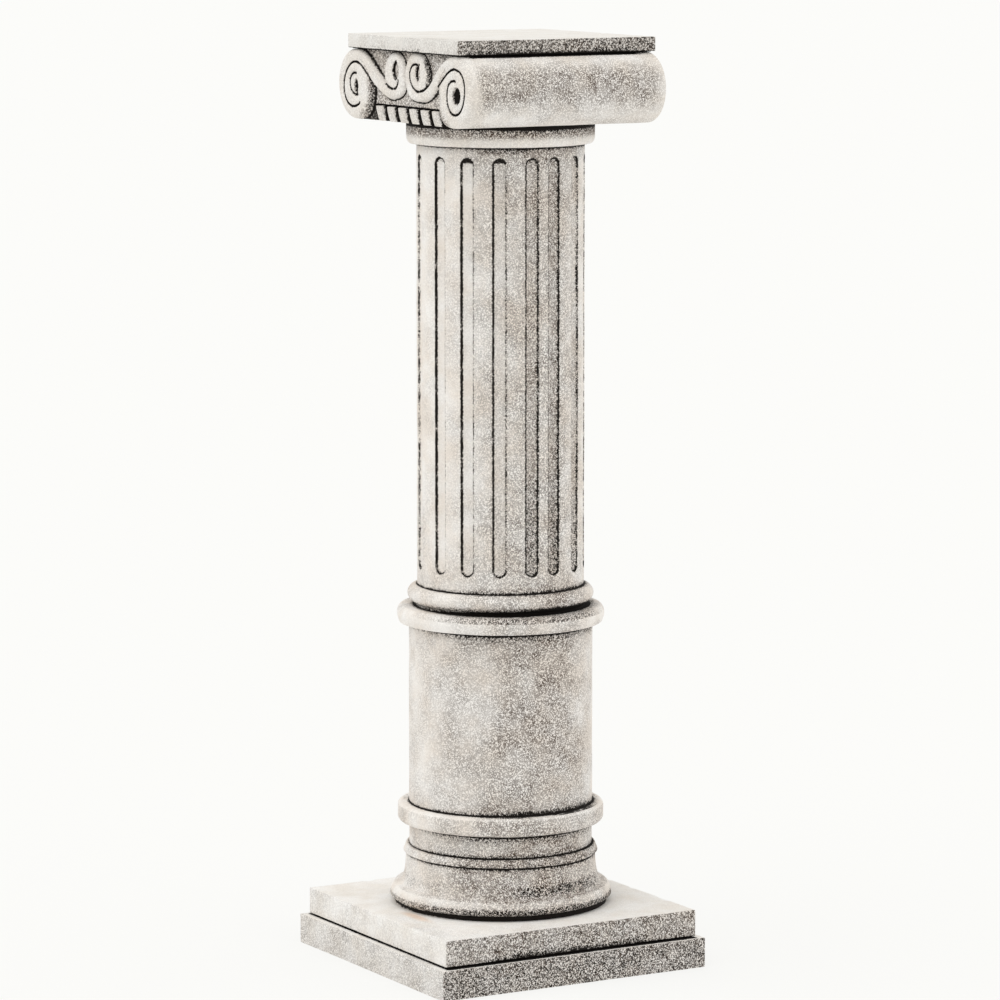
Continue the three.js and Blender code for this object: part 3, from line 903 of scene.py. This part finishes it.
band_inside_volute = [place for place in band_lower_edge if disc_reach(place, 1) > line_inset]
band_inside_left = [place for place in band_upper_edge if inner_reach(place, -1) > line_inset]
band_inside_right = [place for place in band_upper_edge if inner_reach(place, 1) > line_inset]

# Each line is its places, and whether it fades in and out at its ends. On the left the big scroll's line
# stops below, round a separate crescent.
left_lines = [
    (band_inside_volute, False, False),
    (band_inside_left, False, False),
    (spiral(Vector((106, 36.2)), 150, (23, 24.5, 27.6, 20.6), 0.5, 3.05), False, True),
    (spiral(Vector((105, 37)), 105, (11.2, 14.4, 11.6), 0, 2.35), True, False),
    (spiral(Vector((27, 51.5)), -90, (16.6, 8.5), 0, 0.7), False, True),
    (spiral(Vector((20.5, 54.6)), 100, (9.6, 8.3, 9.6), 0, 2.1), True, True),
]
right_lines = [
    (band_inside_volute, False, False),
    (band_inside_right, False, False),
    (spiral(Vector((109, 35.5)), 166, (32.6, 24.6, 18.6, 21.6, 17.2, 12.8), 0.75, 5), False, True),
    (spiral(Vector((27, 51.5)), -90, (17.2, 19.6, 10.2), 0, 2), False, True),
    (spiral(Vector((28.6, 53.4)), 250, (8.6, 7.6, 9), 0, 1.75), True, False),
]
# Hollows: centre, half width, half height and depth in millimetres, and how black each is. The black is
# painted shade: in the eyes it fills the hollow, with dirt, and in the others it lies on the outer wall.
left_hollows = [((104, 34.4), 4.6, 8.2, 4.5, 1.0), ((22.5, 54.5), 7.4, 10.2, 2.6, 0.55)]
right_hollows = [((112.4, 33.6), 8.6, 9.2, 6.0, 1.0), ((25.4, 53.6), 5.6, 9.0, 2.2, 0.35)]


def find_tree(samples):
    """A search tree that gives the number of the nearest sample, and how far away it is."""
    tree = KDTree(len(samples))
    for i, sample in enumerate(samples):
        tree.insert((sample.x, sample.y, 0), i)
    tree.balance()
    return tree


def line_tree(lines):
    """All places of a side's carved lines, their search tree, and how strong the line is at each."""
    samples, strengths = [], []
    for places, fade_in, fade_out in lines:
        last = len(places) - 1
        for i, place in enumerate(places):
            samples.append(place)
            start = smooth(i, 0, fade_steps) if fade_in else 1
            end = smooth(last - i, 0, fade_steps) if fade_out else 1
            strengths.append(min(start, end))
    return find_tree(samples), samples, strengths


band_tree = find_tree(band_line)
side_lines = {-1: line_tree(left_lines), 1: line_tree(right_lines)}
side_hollows = {-1: left_hollows, 1: right_hollows}


def raised_scrolls(place, side):
    """How far a place lies inside the raised scrollwork, negative outside it, and in its disc and band."""
    disc = disc_reach(place, side)
    index, away = band_tree.find((place.x, place.y, 0))[1:]
    band = band_halves[index] - away
    return max(disc, band, inner_reach(place, side)), disc, band


def tongue_depth(x, rise):
    """How far the row of tongues lies behind the face, and how deep in a gap a place is, from 0 to 1."""
    place = x / tongue_pitch + tongue_count / 2
    if place < 0:
        return panel_depth, 0.72
    if place >= tongue_count or rise > tongue_height + tongue_crown:
        return tongue_bed_depth, 1
    from_middle = abs(place - math.floor(place) - 0.5) * tongue_pitch / (tongue_width / 2)
    if from_middle >= 1:
        return tongue_bed_depth, 1
    up = min(max(rise / tongue_height, 0), 1)
    front = tongue_front + tongue_lean * (1 - up) ** 1.7
    cross = (1 - from_middle ** 5) ** 0.5
    cross *= smooth(tongue_height + tongue_crown - rise, 0, tongue_crown_round)
    return tongue_bed_depth + (front - tongue_bed_depth) * cross, 1 - smooth(cross, 0.45, 0.95)


def face_relief(x, rise):
    """The carved face's depth behind its front plane, and the grime and weather that lie there: dirt, and
    painted shade in the gaps between the tongues, on the panel next to the scrollwork and under the abacus,
    on the walls and flanks and in the hollows.
    """
    side, place = face_place(x, rise)
    raised, disc, band = raised_scrolls(place, side)
    tree, samples, strengths = side_lines[side]
    index, away = tree.find((place.x, place.y, 0))[1:]
    strength = strengths[index]

    if rise < tongue_row_height:
        panel, gap = tongue_depth(x, rise)
        # Painted shade and dirt: black in the gaps between the tongues.
        panel_shade_and_grime = 0.88 * gap
        panel_weather = 0.3
    else:
        panel = panel_depth
        # Painted shade and dirt: a black line on the panel just above the tongues, and darker under the
        # abacus.
        panel_shade_and_grime = 0.8 * (1 - smooth(rise, tongue_row_height + 0.3 * mm, tongue_row_height + 1.5 * mm))
        panel_shade_and_grime = max(panel_shade_and_grime, 0.4 * smooth(rise, block_height - 10 * mm, block_height - 1 * mm))
        panel_weather = 0.85

    depth = inner_drop * smooth(75 * mm - place.x, 0, 30 * mm)
    edge_width, edge_depth = roll_width, roll_depth
    edge_weather_and_shade = 0.15
    if place.x > volute_centre.x and disc <= raised:
        outward = smooth(place.x - volute_centre.x, 0, 20 * mm)
        edge_depth += (rim_depths[side] - roll_depth) * outward
        edge_width += (rim_widths[side] - roll_width) * outward
    elif disc >= band and place.x < volute_centre.x:
        inward = smooth(volute_centre.x - place.x, 4 * mm, 22 * mm)
        edge_width += (flank_width - roll_width) * inward
        edge_depth += (flank_depth - roll_depth) * inward
        # Painted shade: more stipple where the big scroll's inner flank rounds down to the panel.
        edge_weather_and_shade += 0.85 * inward * smooth(flank_width - disc, 0, 0.8 * flank_width)
    edge_lean = 1 - min(max(raised, 0) / edge_width, 1)
    line_lean = 1 - min(away / roll_width, 1)
    edge_drop = edge_depth * (1 - math.sqrt(1 - edge_lean * edge_lean))
    line_drop = strength * roll_depth * (1 - math.sqrt(1 - line_lean * line_lean))
    depth += max(edge_drop, line_drop)
    line_black = strength * (1 - smooth(away, line_core, line_reach)) * (raised > line_inset)
    small = inner_reach(place, side)
    grime_and_shade = 0.95 * line_black
    # Painted shade: the small scroll's outer flank and the big scroll's heel darker where they slope down.
    if small >= max(disc, band) and place.x > inner_centre.x:
        flank_shade = smooth(place.x - inner_centre.x, 6 * mm, 16 * mm)
        flank_shade *= 1 - smooth(small, 1 * mm, 7 * mm)
        grime_and_shade = max(grime_and_shade, (0.58 if side > 0 else 0.3) * flank_shade)
    elif disc >= band and place.x < volute_centre.x:
        heel_shade = smooth(volute_centre.x - place.x, 16 * mm, 30 * mm)
        heel_shade *= 1 - smooth(disc, 0, 9 * mm)
        grime_and_shade = max(grime_and_shade, (0.5 if side < 0 else 0.1) * heel_shade)
    weather_and_shade = edge_weather_and_shade
    for centre, half_width, half_height, hollow_depth, black in side_hollows[side]:
        over = (place.x / mm - centre[0]) / half_width
        reach = math.hypot(over, (place.y / mm - centre[1]) / half_height)
        if reach < 1:
            depth += hollow_depth * mm * (1 - reach ** 3) ** 0.6
            # Painted shade: the hollow's outer wall black, the eyes black all over, and stippled inside.
            outer = 0.5 + 0.5 * over * -side
            shade = black if black > 0.9 else black * outer * outer
            grime_and_shade = max(grime_and_shade, shade * smooth(1 - reach, 0, 0.14))
            weather_and_shade = max(weather_and_shade, 0.8)

    share = smooth(raised, -wall_width, 0)
    # Painted shade and dirt: black on the low walls between the scrollwork and the panel.
    wall = 0.95 * (1 - smooth(abs(raised + 0.9 * mm), 0.35 * mm, 1.25 * mm)) * (place.x < volute_centre.x)
    # Painted shade on the panel next to the raised scrollwork.
    panel_shade = 0.34 * (1 - smooth(-raised, 1 * mm, 5 * mm))
    depth_there = panel + (depth - panel) * share
    grime_and_shade = max(grime_and_shade * share, wall, max(panel_shade_and_grime, panel_shade) * (1 - share))
    return depth_there, grime_and_shade, weather_and_shade * share + panel_weather * (1 - share)


def settle(x, rise):
    """Moves a mesh point that lies close to a groove or to the scrollwork's edge onto it, to keep the
    carving's lines clean."""
    side, place = face_place(x, rise)
    tree, samples, strengths = side_lines[side]
    index, away = tree.find((place.x, place.y, 0))[1:]
    raised = raised_scrolls(place, side)[0]
    if away < settle_reach and raised > 0:
        place = samples[index].copy()
    elif abs(raised) < settle_reach and place.x < volute_centre.x - 6 * mm:
        step = 0.05 * mm
        slope = Vector((
            raised_scrolls(place + Vector((step, 0)), side)[0] - raised,
            raised_scrolls(place + Vector((0, step)), side)[0] - raised,
        )) / step
        place -= slope * raised / max(slope.length_squared, 0.5)
    return side * place.x, place.y


# The front face is a grid of places that takes the carving. Its rows crowd at the block's top and bottom,
# where the side rolls turn in. The back is the same face turned round, and the two are bridged.
capital = bmesh.new()
grime_and_shade_layer = capital.verts.layers.float.new("grime_and_shade")
weather_and_shade_layer = capital.verts.layers.float.new("weather_and_shade")
bmesh.ops.create_grid(capital, x_segments=across_steps, y_segments=rise_steps, size=1)
straight_share = straight_reach / capital_high.x
for v in capital.verts:
    u, s = v.co.x, v.co.y
    rise = roll_radius * (1 + 0.5 * math.sin(s * math.pi / 2) + 0.5 * s)
    level = (rise - roll_radius) / roll_radius
    half_width = volute_centre.x + roll_radius * math.sqrt(max(1 - level * level, 0))
    outer = (abs(u) - straight_share) / (1 - straight_share)
    x = straight_reach * abs(u) / straight_share
    if outer > 0:
        x = straight_reach + (half_width - straight_reach) * outer
    x = math.copysign(x, u)
    if abs(u) < 0.995 and abs(s) < 0.995:
        x, rise = settle(x, rise)
    depth, grime_and_shade, weather_and_shade = face_relief(x, rise)
    v.co = Vector((x, depth - face_depth, block_foot + rise))
    v[grime_and_shade_layer] = grime_and_shade
    v[weather_and_shade_layer] = weather_and_shade
front = capital.verts[:] + capital.edges[:] + capital.faces[:]
back = bmesh.ops.duplicate(capital, geom=front)["geom"]
back_verts = [item for item in back if isinstance(item, bmesh.types.BMVert)]
bmesh.ops.rotate(capital, verts=back_verts, cent=(0, 0, 0), matrix=Matrix.Rotation(math.pi, 3, "Z"))
rims = [edge for edge in capital.edges if edge.is_boundary]
bmesh.ops.bridge_loops(capital, edges=rims)
long_edges = [edge for edge in capital.edges if edge.calc_length() > face_depth]
bmesh.ops.subdivide_edges(capital, edges=long_edges, cuts=length_steps, use_grid_fill=True)
for v in capital.verts:
    if abs(v.co.y) < face_depth - tongue_bed_depth - 1 * mm:
        v[grime_and_shade_layer] = 0
        v[weather_and_shade_layer] = 0
bmesh.ops.recalc_face_normals(capital, faces=capital.faces[:])
wear(capital, 0.22 * mm, 0.08 * mm)

ring_profile = [
    (ring_radius - ring_taper - 2 * mm, 0),
    *bow((ring_radius - ring_taper, ring_taper_height), (ring_taper, 0.95 * ring_taper_height), -75, 0, 7),
    (ring_radius, ring_height + 0.8 * mm),
]
ring = turned(ring_profile, capital_low.z, drum_turn_steps)
wear(ring, 0.2 * mm, 0.1 * mm)
ring_data = bpy.data.meshes.new("necking_ring")
ring.to_mesh(ring_data)
ring.free()
capital.from_mesh(ring_data)
bpy.data.meshes.remove(ring_data)

# How far down from the ring's top its black line and its painted shade under the block reach.
ring_line_height = 6 * mm
ring_shade_height = 15 * mm


def capital_dirt(co):
    """Dirt and painted shade on the necking ring, under the abacus and under the block, and dirt on the
    side rolls. The two carved faces have theirs already."""
    rise = co.z - block_foot
    around = angle_from_photo(co)
    if rise < -0.2 * mm:
        height = co.z - capital_low.z
        # Painted shade and dirt: a black line at the ring's top under the block, a darker and more stippled
        # upper half in the block's shadow, and a black line at the ring's foot.
        full = 0.78 + 0.22 * smooth(around, -35, 10)
        black_line = smooth(height, ring_height - ring_line_height * full, ring_height - 4.2 * mm * full)
        darkening = 0.52 * full * smooth(height, ring_height - ring_shade_height, ring_height - 4 * mm)
        foot = 0.7 * (1 - smooth(height, 0.2 * mm, 1.2 * mm))
        return max(black_line, darkening, foot), 0.1 + 0.9 * smooth(height, 7 * mm, 13 * mm)
    out_y = face_depth - abs(co.y)
    grime_and_shade = 0
    # Painted shade and dirt: a black band along the top of the side rolls, under the abacus's edge.
    if rise > block_height - 6 * mm:
        under_abacus = smooth(abacus_high.x + 2.5 * mm - abs(co.x), 0, 3 * mm)
        under_abacus *= smooth(out_y, 13 * mm, 16 * mm)
        grime_and_shade = under_abacus * smooth(rise, block_height - 4 * mm, block_height - 2 * mm)
    # Painted shade and dirt: black on the block's underside round the ring.
    if rise < 0.6 * mm and co.xy.length < ring_radius + 14 * mm:
        grime_and_shade = max(grime_and_shade, 1 - smooth(co.xy.length, ring_radius + 3 * mm, ring_radius + 12 * mm))
    if out_y < tongue_bed_depth + 1 * mm and abs(co.x) < capital_high.x - 12 * mm:
        return grime_and_shade, 0.1
    on_roll = smooth(out_y, 7 * mm, 16 * mm)
    middle = smooth(rise, 10 * mm, 34 * mm) * smooth(block_height - rise, 2 * mm, 22 * mm)
    weather_and_shade = 0.1 + on_roll * (0.16 + 0.66 * middle + 0.3 * noise.noise(co / (24 * mm)))
    return grime_and_shade, max(weather_and_shade, 0)


capital_stone = cast_stone("cast_stone_capital", "#F8F5F1", "#F0E9E0")
finish_piece(capital, "capital", "scroll_capital", capital_stone, capital_dirt)
